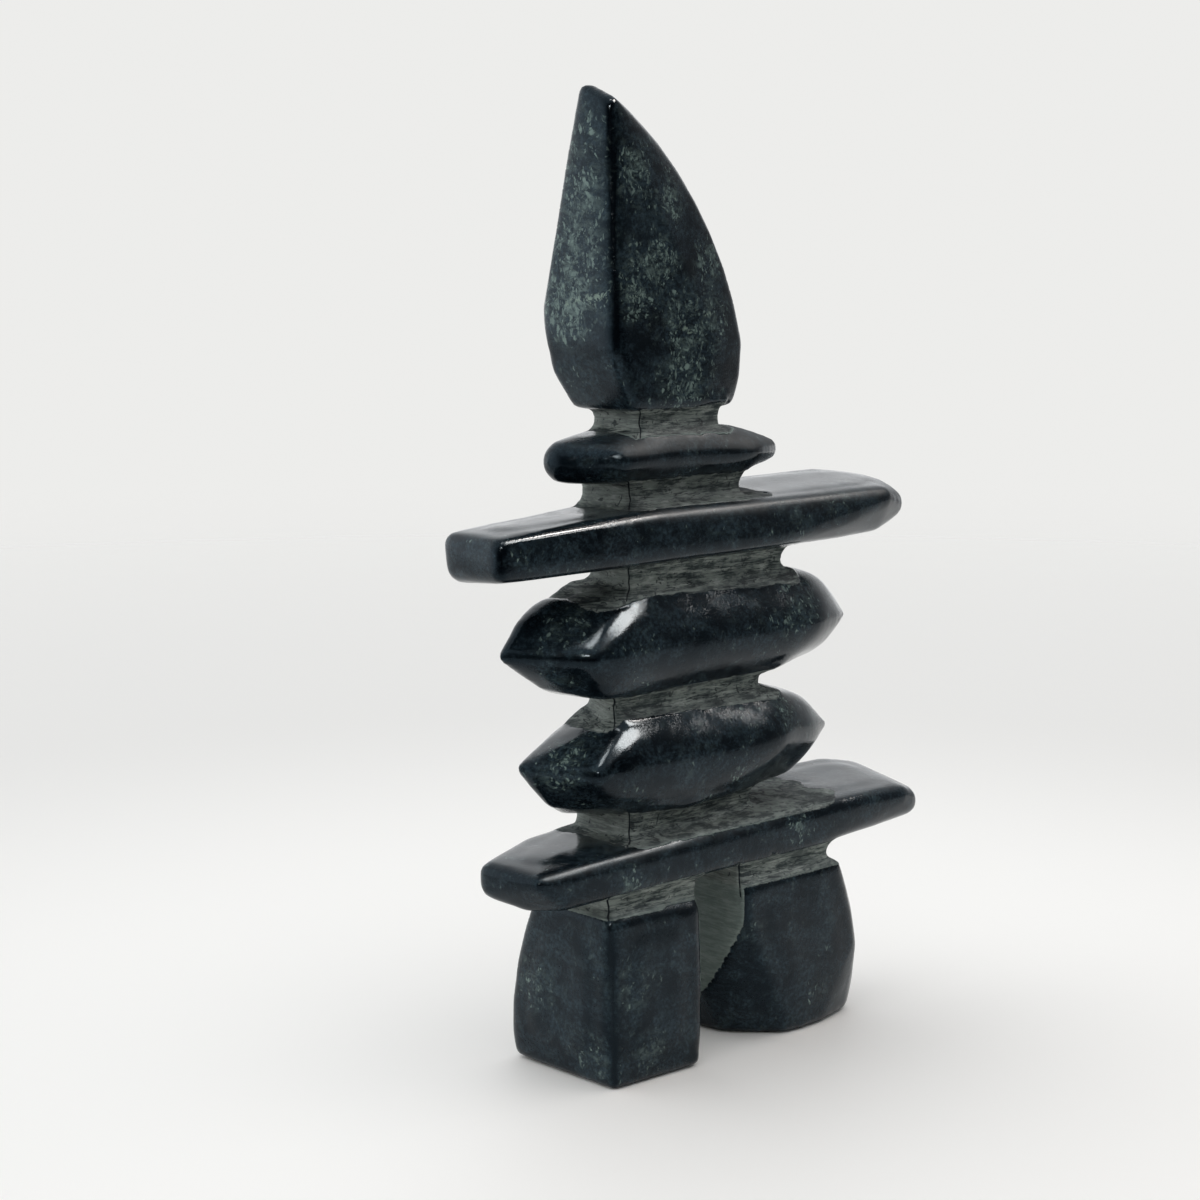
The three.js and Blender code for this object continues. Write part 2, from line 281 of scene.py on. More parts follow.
def filed_mask(points, necks, slot_sides):
    """1 where the stone was filed or sawn and never polished, 0 where it was polished."""
    rough_edge = 0.22 * ripple(points, 5.0, 1) + 0.07 * ripple(points, 1.4, 2)
    x, y, z = points.T
    mask = np.zeros(len(points))
    for row, low, high in necks:
        waist, (left, right, front, back), drop = NECKS[row]
        below = z < waist
        under, rise = 1.5, 0.8  # how far the file bit into the stone above, sideways and up
        across_x = np.maximum(
            (low[0] - x) / np.where(below, left, under), (x - high[0]) / np.where(below, right, under)
        )
        across_y = np.maximum(
            (low[1] - y) / np.where(below, front, under), (y - high[1]) / np.where(below, back, under)
        )
        level = np.where(below, (waist - NECK_HALF - z) / drop, (z - waist - NECK_HALF) / rise)
        away = np.sqrt(
            np.maximum(across_x, 0) ** 2 + np.maximum(across_y, 0) ** 2 + np.maximum(level, 0) ** 2
        )
        mask = np.maximum(mask, ramp(away + rough_edge, 1.25, 0.95))
    for side in slot_sides:
        near = ramp(np.abs(x - side), 0.55, 0.3) * ramp(z, SLOT_TOP + 0.6, SLOT_TOP)
        mask = np.maximum(mask, near)
    return mask


def cloud_strength(points):
    """How thick the pale crystals lie at each point."""
    strength = np.zeros(len(points))
    for middle, radius, amount in PALE_CLOUDS:
        distance = np.linalg.norm(points - middle, axis=1)
        strength = np.maximum(strength, amount * ramp(distance, 1.25 * radius, 0.2 * radius))
    return np.clip(strength + 0.12 * ripple(points, 6.0, 3), 0.0, 1.2)


def painted_arris_reflection(points, normals):
    """Painted dark reflection on the arrises that look out between the front and the left, towards the
    camera's side: narrow on the slabs and legs, none on the neck stone, and the whole bevel on the head."""
    between = normals @ np.array((-0.6, -0.8, 0.0))
    height = points[:, 2]
    bevel = ramp(between, 0.92, 0.96) * ramp(height, 139.0, 143.0)
    return np.maximum(bevel, ramp(between, 0.93, 0.985) * ramp(height, 114.0, 110.0))


def rubbed_arris(points, normals):
    """How dull the upper front arrises are rubbed, where the legs are 1, and 0 elsewhere."""
    x, _, z = points.T
    between = normals @ np.array((0.0, -0.71, 0.71))
    rubbed = np.zeros(len(points))
    for height, whole, ended, amount in RUBBED:
        near = ramp(np.abs(z - height), 4.5, 3.0) * ramp(x, ended, whole)
        rubbed = np.maximum(rubbed, amount * near)
    return rubbed * ramp(between, 0.75, 0.9)


def vein_strength(points):
    """1 on a vein's middle line, falling to 0 at its half width."""
    strength = np.zeros(len(points))
    bent = points + 0.9 * np.stack([ripple(points, 4.0, seed) for seed in (4, 5, 6)], axis=1)
    for line, half_width in VEINS:
        for start, end in zip(line, line[1:]):
            start, along = np.array(start), np.subtract(end, start)
            t = np.clip(((bent - start) @ along) / (along @ along), 0.0, 1.0)
            distance = np.linalg.norm(bent - start - t[:, None] * along, axis=1)
            strength = np.maximum(strength, ramp(distance, half_width, 0.2 * half_width))
    return strength


def crack_distance(points, necks):
    """How far along the surface each point is, in millimetres, from the crack down the front left arris
    of its neck: negative on the left face, positive on the front face, 9 away from the necks."""
    x, y, z = points.T
    wander = 0.9 * ripple(points, 3.5, 7) + 0.3 * ripple(points, 1.2, 27)
    nearest = np.full(len(points), 9.0)
    for row, low, high in necks:
        along = (x - low[0]) - (y - low[1]) + wander
        on_neck = np.abs(z - NECKS[row][0]) < NECK_HALF + 2.5
        closer = on_neck & (np.abs(along) < np.abs(nearest))
        nearest = np.where(closer, along, nearest)
    return nearest


# ---- The carved surface


def cut_finer(mesh, mask, at_least):
    """Splits each face where the mask is at least this much into four."""
    work = bmesh.new()
    work.from_mesh(mesh)
    work.verts.ensure_lookup_table()
    chosen = [face for face in work.faces if min(mask[v.index] for v in face.verts) >= at_least]
    edges = list({edge for face in chosen for edge in face.edges})
    bmesh.ops.subdivide_edges(work, edges=edges, cuts=1, use_grid_fill=True)
    work.to_mesh(mesh)
    work.free()


def soften(points, pairs, shape):
    """The surface with crisp arrises, the same surface with its faces flowing into each other, and how
    slight each crease is: 1 where it is too slight to be an arris, 0 where it is one."""
    crisp = smoothed(points, pairs, shape.crisp_passes)
    shrunk = smoothed(crisp, pairs, shape.flow_passes, keep_size=False)
    flowing = smoothed(2.0 * crisp - shrunk, pairs, shape.flow_passes, keep_size=False)
    moved = np.linalg.norm(shrunk - crisp, axis=1)
    below_head = ramp(crisp[:, 2], 127.0, 122.0)
    slight = ramp(moved, 0.9, 0.35) * below_head
    for _ in range(8):
        slight = pull_to_neighbours(slight, pairs, 0.5)
    return crisp, flowing, slight


def lens_share(points):
    """1 on the lens-shaped stones away from their pointed ends, 0 on the slabs, legs and head."""
    x, z = points[:, 0], points[:, 2]
    share = np.zeros(len(points))
    for low, high, left, right in LENS_STONES:
        level = ramp(z, low - 1.5, low + 1) * ramp(z, high + 1.5, high - 1)
        reach = ramp(x, left, left + 14) * ramp(x, right, right - 14)
        share = np.maximum(share, level * reach)
    return share


def even_mesh(source, cell):
    """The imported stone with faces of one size."""
    piece = bpy.data.objects.new("carving", source.data.copy())
    piece.data.transform(source.matrix_world)
    bpy.context.collection.objects.link(piece)
    remesh = piece.modifiers.new("even mesh", "REMESH")
    remesh.mode = "VOXEL"
    remesh.voxel_size = cell
    evaluated = piece.evaluated_get(bpy.context.evaluated_depsgraph_get())
    mesh = bpy.data.meshes.new_from_object(evaluated)
    bpy.data.objects.remove(piece)
    return mesh


def sides_of_slot(necks):
    """Where the legs' inner faces stand along X."""
    legs = [(low, high) for row, low, high in necks if row == 0]
    if len(legs) != 2:
        raise RuntimeError("the saw slot doesn't part the lowest neck in two")
    (_, left_high), (right_low, _) = legs
    return left_high[0], right_low[0]


def tool_relief(points, filed, crack, shape):
    """How far hand tools moved each point out, in millimetres: the slow waves of the polish, file
    strokes, chips where the two meet, cracks, gouges and the fuller ends of the lens stones."""
    polished = 1.0 - filed
    relief = shape.wave / MM * polished * (ripple(points, 19.0, 8) + 0.4 * ripple(points, 8.0, 9))
    strokes = ripple(points, np.array([9.0, 9.0, 0.85]), 10) + 0.6 * ripple(points, 2.0, 11)
    relief += shape.file_marks / MM * filed * strokes
    edge_of_filing = 4.0 * filed * polished
    chips = np.maximum(ripple(points, 1.7, 12) - 0.12, 0.0)
    relief -= shape.chips / MM * edge_of_filing * chips * 2.0
    relief -= CRACK_DEPTH * ramp(np.abs(crack), 0.5, 0.1) * filed
    for middle, radius, depth in GOUGES:
        distance = np.linalg.norm(points - middle, axis=1)
        relief -= depth * ramp(distance, radius, 0.35 * radius)
    for middle, radius, height in SWELLINGS:
        distance = np.linalg.norm(points - middle, axis=1)
        relief += height * polished * ramp(distance, radius, 0.0)
    off_the_floor = ramp(points[:, 2], 0.3, 1.2)
    return relief * off_the_floor


def carved_mesh(source, shape):
    """A fine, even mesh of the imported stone, worked over as hand tools leave it."""
    mesh = even_mesh(source, shape.cell)
    necks = waists(mesh)
    slot_sides = sides_of_slot(necks)

    crisp, flowing, slight = soften(read_points(mesh), edge_pairs(mesh), shape)
    filed = filed_mask(crisp, necks, slot_sides)
    share = shape.pillow + (shape.lens_pillow - shape.pillow) * lens_share(crisp)
    share = np.maximum(share, slight) * (1.0 - filed)
    write_points(mesh, crisp + share[:, None] * (flowing - crisp))
    cut_finer(mesh, filed, 0.55)

    points = read_points(mesh)
    filed = filed_mask(points, necks, slot_sides)
    fine = pull_to_neighbours(points, edge_pairs(mesh), 0.5)
    points = points + (filed > 0.5)[:, None] * (fine - points)
    write_points(mesh, points)

    normals = point_normals(mesh)
    crack = crack_distance(points, necks)
    points = points + normals * tool_relief(points, filed, crack, shape)[:, None]
    low, high = (np.array(corner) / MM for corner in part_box("cairn"))
    points = np.clip(points, low, high)
    write_points(mesh, points)
    mesh.polygons.foreach_set("use_smooth", [True] * len(mesh.polygons))

    legs = ramp(points[:, 2], LEGS_TOP, LEGS_TOP - 1.2)
    faces_left = ramp(normals[:, 0], -0.5, -0.9)
    marks = {
        "filed": filed,
        "pale": cloud_strength(points),
        "vein": vein_strength(points),
        "crack": crack,
        "dull": np.maximum(legs, rubbed_arris(points, normals) * (1.0 - filed)),
        # painted light: filed faces that look left, towards the bright side of the room, are made paler
        "chalky": filed * faces_left * (1.0 - 0.75 * legs),
        # painted dark reflection along the arrises that face the camera's side
        "arris": painted_arris_reflection(points, normals),
    }
    for name in MARKS:
        mesh.attributes.new(name, "FLOAT", "POINT").data.foreach_set("value", marks[name])
    return mesh


# ---- Materials


class Graph:
    """A node tree being wired. add() makes a node, sets its properties and feeds its inputs."""

    def __init__(self, tree):
        self.tree = tree
        tree.nodes.clear()

    def add(self, kind, properties=None, inputs=None):
        made = self.tree.nodes.new(kind)
        for name, value in (properties or {}).items():
            setattr(made, name, value)
        for name, value in (inputs or {}).items():
            socket = made.inputs[name]
            if isinstance(value, bpy.types.NodeSocket):
                self.tree.links.new(value, socket)
            else:
                socket.default_value = value
        return made

    def math(self, operation, a, b=0.0, clamp=False):
        properties = {"operation": operation, "use_clamp": clamp}
        return self.add("ShaderNodeMath", properties, {0: a, 1: b}).outputs[0]

    def remap(self, value, low, high, to_low=0.0, to_high=1.0):
        properties = {"interpolation_type": "SMOOTHSTEP"}
        inputs = {"Value": value, "From Min": low, "From Max": high, "To Min": to_low, "To Max": to_high}
        return self.add("ShaderNodeMapRange", properties, inputs).outputs[0]

    def noise(self, vector, size, detail=4.0, roughness=0.6, distortion=0.0):
        """Noise whose features are about this size, in metres."""
        inputs = {
            "Vector": vector,
            "Scale": 1.0 / size,
            "Detail": detail,
            "Roughness": roughness,
            "Distortion": distortion,
        }
        return self.add("ShaderNodeTexNoise", {}, inputs).outputs[0]

    def mix(self, share, a, b):
        made = self.add("ShaderNodeMix", {"data_type": "RGBA"})
        for socket, value in ((made.inputs[0], share), (made.inputs[6], a), (made.inputs[7], b)):
            if isinstance(value, bpy.types.NodeSocket):
                self.tree.links.new(value, socket)
            else:
                socket.default_value = value
        return made.outputs[2]

    def attribute(self, name):
        return self.add("ShaderNodeAttribute", {"attribute_name": name}).outputs["Fac"]

    def stretched(self, vector, scale):
        inputs = {"Vector": vector, "Scale": scale}
        return self.add("ShaderNodeMapping", {"vector_type": "POINT"}, inputs).outputs[0]


def rgba(colour):
    return (*colour, 1.0)


def crystals(graph, place, size, lean, density):
    """Angular crystals: 1 inside the brightest, 0 between them. The denser, the more are lit."""
    leaning = graph.add(
        "ShaderNodeMapping",
        {"vector_type": "POINT"},
        {"Vector": place, "Rotation": lean, "Scale": (1.0, 1.0, 0.55)},
    ).outputs[0]
    cells = graph.add("ShaderNodeTexVoronoi", {}, {"Vector": leaning, "Scale": 1.0 / size})
    chances = graph.add("ShaderNodeSeparateColor", {}, {0: cells.outputs["Color"]}).outputs
    lit = graph.remap(graph.math("ADD", chances[0], density), 0.97, 1.15)
    bright = graph.remap(chances[1], 0.0, 1.0, 0.25, 1.0)
    shaped = graph.remap(cells.outputs["Distance"], 0.7, 0.3)
    return graph.math("MULTIPLY", graph.math("MULTIPLY", lit, bright), shaped)


def jittered(graph, place, size, reach):
    """Moves places about at random, so that what is laid there bends and breaks."""
    noise_colour = graph.add(
        "ShaderNodeTexNoise", {}, {"Vector": place, "Scale": 1.0 / size, "Detail": 3.0}
    ).outputs["Color"]
    shift = graph.add(
        "ShaderNodeVectorMath", {"operation": "SCALE"}, {0: noise_colour, "Scale": reach}
    ).outputs[0]
    return graph.add("ShaderNodeVectorMath", {"operation": "ADD"}, {0: place, 1: shift}).outputs[0]


def polished_stone(graph, place, marks, finish):
    """The colour where polished, and how much of it is crystal: a dark ground under a grey veil, with
    blooms and flecks where the clouds are pale, veins, and a painted dark reflection that turns the arrises
    near black."""
    clouds = graph.noise(place, 14.0 * MM, 6.0, 0.6, 0.5)
    ground = graph.mix(
        graph.remap(clouds, 0.35, 0.7), rgba(finish.dark_stone), rgba(finish.blue_stone)
    )
    patches = graph.remap(graph.noise(place, 7.0 * MM, 6.0, 0.68, 0.5), 0.43, 0.62, 0.0, 1.0)
    rubs = graph.noise(graph.stretched(place, (1.0, 1.0, 1.7)), 11.0 * MM, 8.0, 0.75, 1.0)
    rubs = graph.remap(rubs, 0.44, 0.6, 0.0, 0.8)
    hazy = graph.math("ADD", graph.math("ADD", marks["pale"], patches), rubs)
    pale = graph.math("ADD", marks["pale"], graph.math("MULTIPLY", patches, 0.14))
    grain = graph.remap(graph.noise(place, 0.8 * MM, 5.0, 0.8), 0.4, 0.66, 0.12, 1.0)
    veil = graph.math("MULTIPLY", graph.remap(hazy, -0.2, 1.5), grain)
    ground = graph.mix(veil, ground, rgba(finish.grey_stone))
    bloom = graph.noise(graph.stretched(place, (1.0, 1.0, 1.6)), 3.5 * MM, 8.0, 0.8, 0.6)
    bloom = graph.math("MULTIPLY", graph.remap(bloom, 0.46, 0.64, 0.0, 0.5), pale)
    ground = graph.mix(bloom, ground, rgba(finish.fleck))
    bent = jittered(graph, jittered(graph, place, 4.0 * MM, 5.0 * MM), 0.9 * MM, 1.0 * MM)
    clusters = graph.remap(graph.noise(place, 2.6 * MM, 4.0, 0.65), 0.38, 0.62, 0.2, 1.5)
    thick = graph.math("MULTIPLY", pale, graph.remap(marks["dull"], 0.0, 1.0, 0.6, 0.4))
    density = graph.math("MULTIPLY", thick, clusters)
    small = crystals(graph, bent, 0.55 * MM, (0.4, 0.7, 0.3), density)
    large = crystals(graph, bent, 1.0 * MM, (-0.5, -0.8, 0.9), graph.math("MULTIPLY", density, 0.55))
    fleck = graph.math("MAXIMUM", small, large)
    stone = graph.mix(fleck, ground, rgba(finish.fleck))
    shard = graph.math("MULTIPLY", graph.math("SUBTRACT", graph.noise(bent, 0.9 * MM, 3.0), 0.5), 5.0)
    unbroken = graph.remap(graph.math("ADD", marks["vein"], shard), 0.7, 1.1)
    stone = graph.mix(graph.math("MULTIPLY", marks["vein"], unbroken), stone, rgba(finish.vein))
    # Painted dark reflection: arrises that look towards the camera's side are mixed almost to the darkest
    # stone colour
    stone = graph.mix(graph.math("MULTIPLY", marks["arris"], 0.95), stone, rgba(finish.dark_stone))
    return stone, fleck


def filed_stone(graph, place, marks, stroke, powder, finish):
    """The colour where filed or sawn: strokes along the neck, grime, dust, scratches, painted light that
    makes the faces looking left paler, and dark chips.
    """
    tone = graph.math("ADD", graph.math("MULTIPLY", stroke, 0.7), graph.math("MULTIPLY", powder, 0.3))
    worked = graph.mix(
        graph.remap(tone, 0.41, 0.57), rgba(finish.filed_dark), rgba(finish.filed_pale)
    )
    grime = graph.noise(graph.stretched(place, (0.3, 0.3, 1.0)), 2.4 * MM, 5.0, 0.7, 0.5)
    grime = graph.remap(grime, 0.47, 0.66, 0.0, 0.75)
    worked = graph.mix(grime, worked, rgba(finish.filed_dark))
    dust = graph.noise(graph.stretched(place, (0.16, 0.16, 1.0)), 1.1 * MM, 5.0, 0.7, 0.3)
    dust = graph.remap(dust, 0.51, 0.66, 0.0, 0.65)
    worked = graph.mix(dust, worked, rgba(finish.dust))
    scratch = graph.noise(graph.stretched(place, (0.06, 0.06, 1.0)), 1.3 * MM, 3.0, 0.6, 0.2)
    scratch = graph.remap(graph.math("ABSOLUTE", graph.math("SUBTRACT", scratch, 0.5)), 0.014, 0.004)
    worked = graph.mix(graph.math("MULTIPLY", scratch, 0.8), worked, rgba(finish.dark_stone))
    worked = graph.mix(graph.math("MULTIPLY", marks["dull"], 0.6), worked, rgba(finish.sawn))
    # Painted light: filed faces that look left are mixed towards the pale dust colour, as if lit from the
    # bright left
    worked = graph.mix(graph.math("MULTIPLY", marks["chalky"], 0.32), worked, rgba(finish.dust))
    chip = graph.remap(graph.noise(place, 1.5 * MM, 2.0, 0.5, 0.8), 0.62, 0.68)
    chip = graph.math("MULTIPLY", chip, graph.remap(marks["dull"], 0.0, 1.0, 0.7, 0.0))
    return graph.mix(chip, worked, rgba(finish.dark_stone))


def roughness(graph, place, marks, fleck, matte, finish):
    """The polish thins over crystals, is duller on the legs and rubbed arrises, and gone where filed."""
    smudge = graph.noise(place, 5.0 * MM, 5.0, 0.65)
    gloss = graph.remap(smudge, 0.3, 0.75, finish.polish, finish.polish + 0.1)
    gloss = graph.math("ADD", gloss, graph.math("MULTIPLY", fleck, 0.1))
    gloss = graph.math("ADD", gloss, graph.math("MULTIPLY", marks["dull"], 0.1))
    rough = graph.math("MULTIPLY", matte, graph.math("SUBTRACT", finish.matte, gloss))
    return graph.math("ADD", gloss, rough, clamp=True)


def fine_relief(graph, place, stroke, powder, matte):
    """Pits in the rubbed polish, and the grain of the filed stone."""
    pits = graph.noise(place, 0.7 * MM, 4.0, 0.7)
    rubbed = graph.remap(graph.noise(place, 9.0 * MM, 3.0), 0.42, 0.6, 0.15, 0.8)
    skin = graph.add(
        "ShaderNodeBump", {}, {"Strength": rubbed, "Distance": 0.09 * MM, "Height": pits}
    ).outputs[0]
    relief = graph.math("ADD", stroke, graph.math("MULTIPLY", powder, 0.8))
    height = graph.math("MULTIPLY", relief, matte)
    inputs = {"Strength": 0.8, "Distance": 0.25 * MM, "Height": height, "Normal": skin}
    return graph.add("ShaderNodeBump", {}, inputs).outputs[0]


def serpentine(finish):
    """Polished near-black stone with pale crystals and veins, matte and grey-green where filed."""
    material = bpy.data.materials.new("serpentine")
    material.use_nodes = True
    graph = Graph(material.node_tree)
    place = graph.add("ShaderNodeTexCoord").outputs["Object"]
    marks = {name: graph.attribute(name) for name in MARKS}
    stroke = graph.noise(graph.stretched(place, (0.1, 0.1, 1.0)), 0.7 * MM, 4.0, 0.75)
    powder = graph.noise(place, 2.6 * MM, 5.0, 0.65, 0.4)
    edge = graph.math("MULTIPLY", graph.math("SUBTRACT", graph.noise(place, 1.2 * MM, 3.0), 0.5), 0.5)
    matte = graph.remap(graph.math("ADD", marks["filed"], edge), 0.35, 0.65)

    stone, fleck = polished_stone(graph, place, marks, finish)
    worked = filed_stone(graph, place, marks, stroke, powder, finish)
    colour = graph.mix(matte, stone, worked)
    split = graph.remap(graph.math("ABSOLUTE", marks["crack"]), 0.3, 0.14)
    colour = graph.mix(graph.math("MULTIPLY", split, matte), colour, rgba(finish.dark_stone))
    rough = roughness(graph, place, marks, fleck, matte, finish)
    normal = fine_relief(graph, place, stroke, powder, matte)
    surface = graph.add(
        "ShaderNodeBsdfPrincipled",
        {},
        {"Base Color": colour, "Roughness": rough, "IOR": STONE_IOR, "Normal": normal},
    )
    surface.inputs["Specular Tint"].default_value = rgba(finish.sheen)
    graph.add("ShaderNodeOutputMaterial", {}, {"Surface": surface.outputs[0]})
    return material


def floor_paint(look, middle):
    """Pale paint, turned a little greyer away from the stone as painted shade, that fades out far off and
    at the rim, where the backdrop takes over."""
    material = bpy.data.materials.new("pale_floor")
    material.use_nodes = True
    graph = Graph(material.node_tree)
    place = graph.add("ShaderNodeTexCoord").outputs["Object"]
    from_stone = graph.add("ShaderNodeVectorMath", {"operation": "LENGTH"}, {0: place}).outputs["Value"]
    # Painted shade: the paint darkens with distance from the stone
    far = graph.remap(from_stone, *FLOOR_GREYS)
    paint = graph.mix(far, rgba(look.floor), rgba([look.far_floor * c for c in look.floor]))
    surface = graph.add(
        "ShaderNodeBsdfPrincipled", {}, {"Base Color": paint, "Roughness": 0.6, "IOR": 1.4}
    ).outputs[0]
    clear = graph.add("ShaderNodeBsdfTransparent").outputs[0]
    distance = graph.add(
        "ShaderNodeVectorMath", {"operation": "DISTANCE"}, {0: place, 1: middle}
    ).outputs["Value"]
    rim = graph.remap(distance, *(look.floor_radius * share for share in FLOOR_RIM))
    fade = graph.math("MAXIMUM", rim, graph.remap(from_stone, *FLOOR_FADE))
    blend = graph.add("ShaderNodeMixShader", {}, {0: fade, 1: surface, 2: clear}).outputs[0]
    graph.add("ShaderNodeOutputMaterial", {}, {"Surface": blend})
    return material


# ---- Settings a user would change


class CairnShape(bpy.types.PropertyGroup):
    cell: FloatProperty(
        name="Mesh cell", description="Size of the even mesh's faces", default=0.91 * MM, unit="LENGTH"
    )
    crisp_passes: IntProperty(
        name="Crisp passes", description="Rounding of the slabs' and legs' arrises", default=6
    )
    flow_passes: IntProperty(
        name="Flow passes", description="How far the flowing shape is rounded off", default=130
    )
    pillow: FloatProperty(
        name="Pillow", description="Share of the flowing shape in slabs, legs and head", default=0.15
    )
    lens_pillow: FloatProperty(
        name="Lens pillow", description="Share of the flowing shape in the lens stones", default=1.0
    )
    wave: FloatProperty(
        name="Waviness", description="Height of the polished faces' slow waves", default=0.14 * MM,
        unit="LENGTH",
    )
    file_marks: FloatProperty(
        name="File marks", description="Depth of the strokes in the necks", default=0.14 * MM,
        unit="LENGTH",
    )
    chips: FloatProperty(
        name="Chips", description="Depth of the chips along the necks", default=0.5 * MM, unit="LENGTH"
    )


def colour_setting(name, description, default):
    return FloatVectorProperty(
        name=name, description=description, default=default, subtype="COLOR", min=0.0, max=1.0
    )


class CairnFinish(bpy.types.PropertyGroup):
    dark_stone: colour_setting("Dark stone", "Darkest ground colour", (0.0012, 0.0022, 0.0036))
    blue_stone: colour_setting("Blue stone", "Blue-green ground colour", (0.0035, 0.0062, 0.0088))
    grey_stone: colour_setting("Grey veil", "Grey ground where crystals lie thick", (0.025, 0.0405, 0.051))
    fleck: colour_setting("Flecks", "Colour of the crystals", (0.15, 0.205, 0.185))
    vein: colour_setting("Veins", "Colour of the veins", (0.19, 0.25, 0.21))
    filed_dark: colour_setting("Filed, dark", "Deep strokes of the filed necks", (0.021, 0.028, 0.027))
    filed_pale: colour_setting("Filed, pale", "Powdery strokes of the filed necks", (0.168, 0.192, 0.174))
    sawn: colour_setting("Sawn", "Sides of the saw slot", (0.17, 0.215, 0.195))
    # The dust colour also paints light onto the filed faces that look left
    dust: colour_setting("Dust", "Whitish strokes of the filed necks", (0.33, 0.36, 0.33))
    sheen: colour_setting("Gloss tint", "Tint of the polish seen head on", (0.57, 0.81, 1.0))
    polish: FloatProperty(
        name="Polish", description="Roughness of the polished faces", default=0.07, min=0.0, max=1.0
    )
    matte: FloatProperty(
        name="Filed roughness", description="Roughness of the necks", default=0.72, min=0.0, max=1.0
    )


class CairnStage(bpy.types.PropertyGroup):
    azimuth: FloatProperty(
        name="Camera azimuth", description="Where the camera stands, from the front",
        default=math.radians(-42.8), subtype="ANGLE",
    )
    elevation: FloatProperty(
        name="Camera elevation", description="How far down the camera looks",
        default=math.radians(7.88), subtype="ANGLE",
    )
    distance: FloatProperty(
        name="Camera distance", description="From the camera to the point it looks at", default=0.48,
        unit="LENGTH",
    )
    lens: FloatProperty(
        name="Lens", description="Focal length in millimetres", default=72.45, unit="CAMERA"
    )
    floor: colour_setting("Floor", "Colour of the floor", (0.94, 0.926, 0.898))
    backdrop: colour_setting("Backdrop", "Colour of the backdrop", (0.845, 0.845, 0.83))
    # far_floor sets how dark the painted shade on the far floor is
    far_floor: FloatProperty(
        name="Far floor", description="How light the floor is far off, against close by", default=0.82
    )
    floor_radius: FloatProperty(
        name="Floor radius", description="Where the floor has faded into the backdrop", default=0.95,
        unit="LENGTH",
    )
    bounce: FloatProperty(
        name="Bounce light", description="Brightness of the pale room around the stone", default=1.42
    )
    ceiling: FloatProperty(
        name="Ceiling", description="How light the room's ceiling is, against its palest wall", default=0.7
    )
    evenness: FloatProperty(
        name="Evenness", description="How even the soft light is all around", default=0.22
    )
    fill: FloatProperty(
        name="Fill light", description="Brightness of the soft light", default=1.17
    )
    softbox: FloatProperty(name="Softbox", description="Power of the large lamp on the right", default=13.0)
    side_lamp: FloatProperty(
        name="Side lamp", description="Power of the small lamp on the right", default=5.6
    )
    top_lamp: FloatProperty(name="Top lamp", description="Power of the lamp overhead", default=3.2)
    front_lamp: FloatProperty(
        name="Front lamp", description="Power of the lamp above the camera", default=3.6
    )


# ---- Operators


class CAIRN_OT_stone(bpy.types.Operator):
    """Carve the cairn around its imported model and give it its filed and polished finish"""

    bl_idname = "cairn.stone"
    bl_label = "Stone"

    def execute(self, context):
        settings = context.scene
        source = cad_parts["cairn"]
        mesh = carved_mesh(source, settings.cairn_shape)
        mesh.materials.clear()
        mesh.materials.append(serpentine(settings.cairn_finish))
        mesh.name = "cairn_stone"
        piece = bpy.data.objects.new("cairn_stone", mesh)
        context.collection.objects.link(piece)
        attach(piece, "root")
        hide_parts("cairn")
        return {"FINISHED"}


def aim(azimuth, elevation):
    """The direction from the stone to a place around it: azimuth 0 is the front, 90 degrees the right."""
    level = math.cos(elevation)
    return Vector(
        (math.sin(azimuth) * level, -math.cos(azimuth) * level, math.sin(elevation))
    )


def lay_floor(look):
    middle = FLOOR_SHIFT * aim(look.azimuth + math.pi, 0.0)
    work = bmesh.new()
    bmesh.ops.create_circle(
        work, cap_ends=True, radius=look.floor_radius, segments=96, matrix=Matrix.Translation(middle)
    )
    mesh = bpy.data.meshes.new("floor")
    work.to_mesh(mesh)
    work.free()
    mesh.materials.append(floor_paint(look, middle))
    floor = bpy.data.objects.new("floor", mesh)
    bpy.context.collection.objects.link(floor)


def paint_room(look):
    """The room: one pale backdrop to the eye. In reflections it is pale behind the stone and overhead,
    and dark on the camera's side."""
    world = bpy.data.worlds.new("room")
    bpy.context.scene.world = world
    world.use_nodes = True
    graph = Graph(world.node_tree)
    direction = graph.add("ShaderNodeTexCoord").outputs["Generated"]
    x, y, z = graph.add("ShaderNodeSeparateXYZ", {}, {0: direction}).outputs
    turn = graph.math("ARCTAN2", x, graph.math("MULTIPLY", y, -1.0))
    around = graph.math("ADD", graph.math("DIVIDE", turn, math.tau), 0.5)
    walls = graph.add("ShaderNodeValToRGB", {}, {0: around})
    stops = walls.color_ramp.elements
    for stop, (_, light) in zip(stops, (WALLS[0], WALLS[-1])):
        stop.color = rgba([light] * 3)
    for degrees, light in WALLS[1:-1]:
        stops.new(degrees / 360.0 + 0.5).color = rgba([light] * 3)
    ceiling = graph.remap(z, 0.45, 0.74)
    mirrored = graph.add("ShaderNodeMix", {}, {0: ceiling, 2: walls.outputs[0], 3: look.ceiling}).outputs[0]
    mirrored = graph.math("MULTIPLY", mirrored, look.bounce)
    soft = graph.add("ShaderNodeMix", {}, {0: look.evenness, 2: mirrored, 3: 1.0}).outputs[0]
    soft = graph.math("MULTIPLY", soft, look.fill)
    in_mirror = graph.add("ShaderNodeLightPath").outputs["Is Glossy Ray"]
    strength = graph.add("ShaderNodeMix", {}, {0: in_mirror, 2: soft, 3: mirrored}).outputs[0]
    lit = graph.add(
        "ShaderNodeBackground", {}, {"Color": rgba(ROOM_COLOUR), "Strength": strength}
    ).outputs[0]
    seen = graph.add("ShaderNodeBackground", {}, {"Color": rgba(look.backdrop), "Strength": 1.0}).outputs[0]
    to_eye = graph.add("ShaderNodeLightPath").outputs["Is Camera Ray"]
    blend = graph.add("ShaderNodeMixShader", {}, {0: to_eye, 1: lit, 2: seen}).outputs[0]
    graph.add("ShaderNodeOutputWorld", {}, {"Surface": blend})


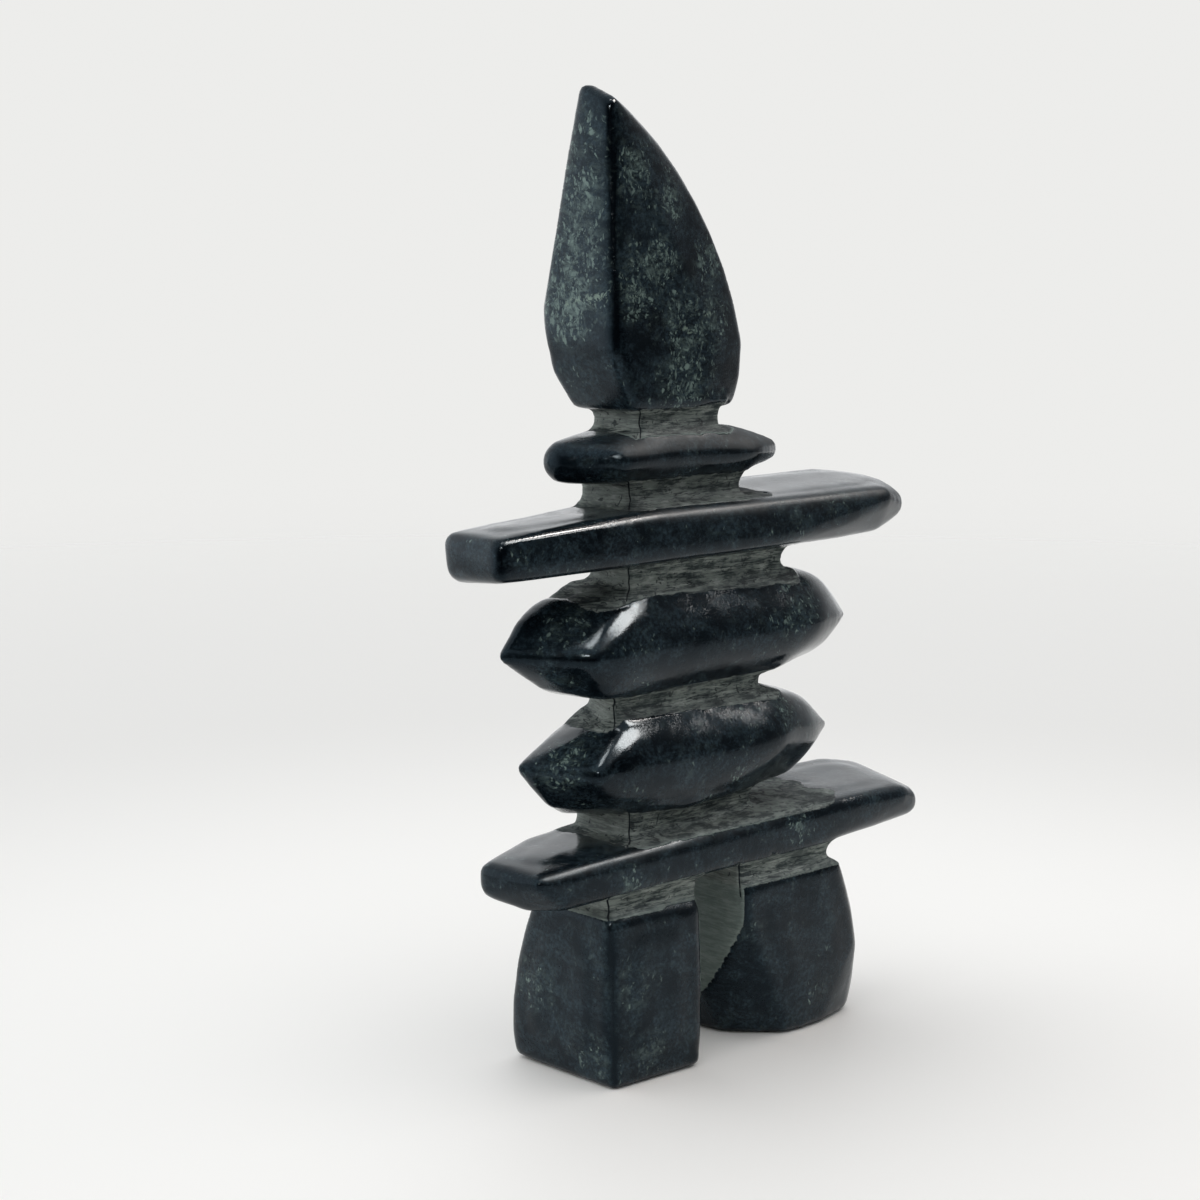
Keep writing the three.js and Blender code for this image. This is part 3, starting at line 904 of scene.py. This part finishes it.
def hang_lamp(name, azimuth, elevation, size, power):
    """A soft lamp that shows only in the polish, turned to the middle of the stone."""
    direction = aim(math.radians(azimuth), math.radians(elevation))
    lamp = bpy.data.lights.new(name, "AREA")
    lamp.shape = "RECTANGLE"
    lamp.size, lamp.size_y = size
    lamp.energy = power
    lamp.color = LAMP_COLOUR
    holder = bpy.data.objects.new(name, lamp)
    holder.location = Vector(MIDDLE) + LAMP_DISTANCE * direction
    holder.rotation_euler = (-direction).to_track_quat("-Z", "Y").to_euler()
    holder.visible_diffuse = False
    bpy.context.collection.objects.link(holder)


def set_camera(look):
    data = bpy.data.cameras.new("camera")
    data.lens = look.lens
    data.sensor_width = 36.0
    data.clip_start = 0.01
    camera = bpy.data.objects.new("camera", data)
    camera.location = Vector(CAMERA_TARGET) + look.distance * aim(look.azimuth, look.elevation)
    camera.rotation_euler = (math.pi / 2 - look.elevation, 0.0, look.azimuth)
    bpy.context.collection.objects.link(camera)
    bpy.context.scene.camera = camera


class CAIRN_OT_stage(bpy.types.Operator):
    """Lay the pale floor, paint the room, hang the lamps and set the camera"""

    bl_idname = "cairn.stage"
    bl_label = "Stage"

    def execute(self, context):
        look = context.scene.cairn_stage
        lay_floor(look)
        paint_room(look)
        for name, azimuth, elevation, size in LAMPS:
            hang_lamp(name, azimuth, elevation, size, getattr(look, name))
        set_camera(look)
        context.scene.view_settings.view_transform = "Standard"
        return {"FINISHED"}


class CAIRN_PT_panel(bpy.types.Panel):
    """Lists the cairn's settings and the steps that build it"""

    bl_idname = "CAIRN_PT_panel"
    bl_label = "Stone cairn"
    bl_space_type = "VIEW_3D"
    bl_region_type = "UI"
    bl_category = "Stone cairn"

    def draw(self, context):
        layout = self.layout
        steps = (
            ("cairn_shape", None),
            ("cairn_finish", CAIRN_OT_stone),
            ("cairn_stage", CAIRN_OT_stage),
        )
        for group, operator in steps:
            settings = getattr(context.scene, group)
            box = layout.box()
            for name in settings.__annotations__:
                box.prop(settings, name)
            if operator:
                box.operator(operator.bl_idname)


GROUPS = {"cairn_shape": CairnShape, "cairn_finish": CairnFinish, "cairn_stage": CairnStage}
CLASSES = (*GROUPS.values(), CAIRN_OT_stone, CAIRN_OT_stage, CAIRN_PT_panel)


def register():
    for cls in CLASSES:
        bpy.utils.register_class(cls)
    for name, group in GROUPS.items():
        setattr(bpy.types.Scene, name, PointerProperty(type=group))


def unregister():
    for name in GROUPS:
        delattr(bpy.types.Scene, name)
    for cls in reversed(CLASSES):
        bpy.utils.unregister_class(cls)


def main():
    register()
    bpy.ops.cairn.stone()
    bpy.ops.cairn.stage()


if __name__ == "__main__":
    main()
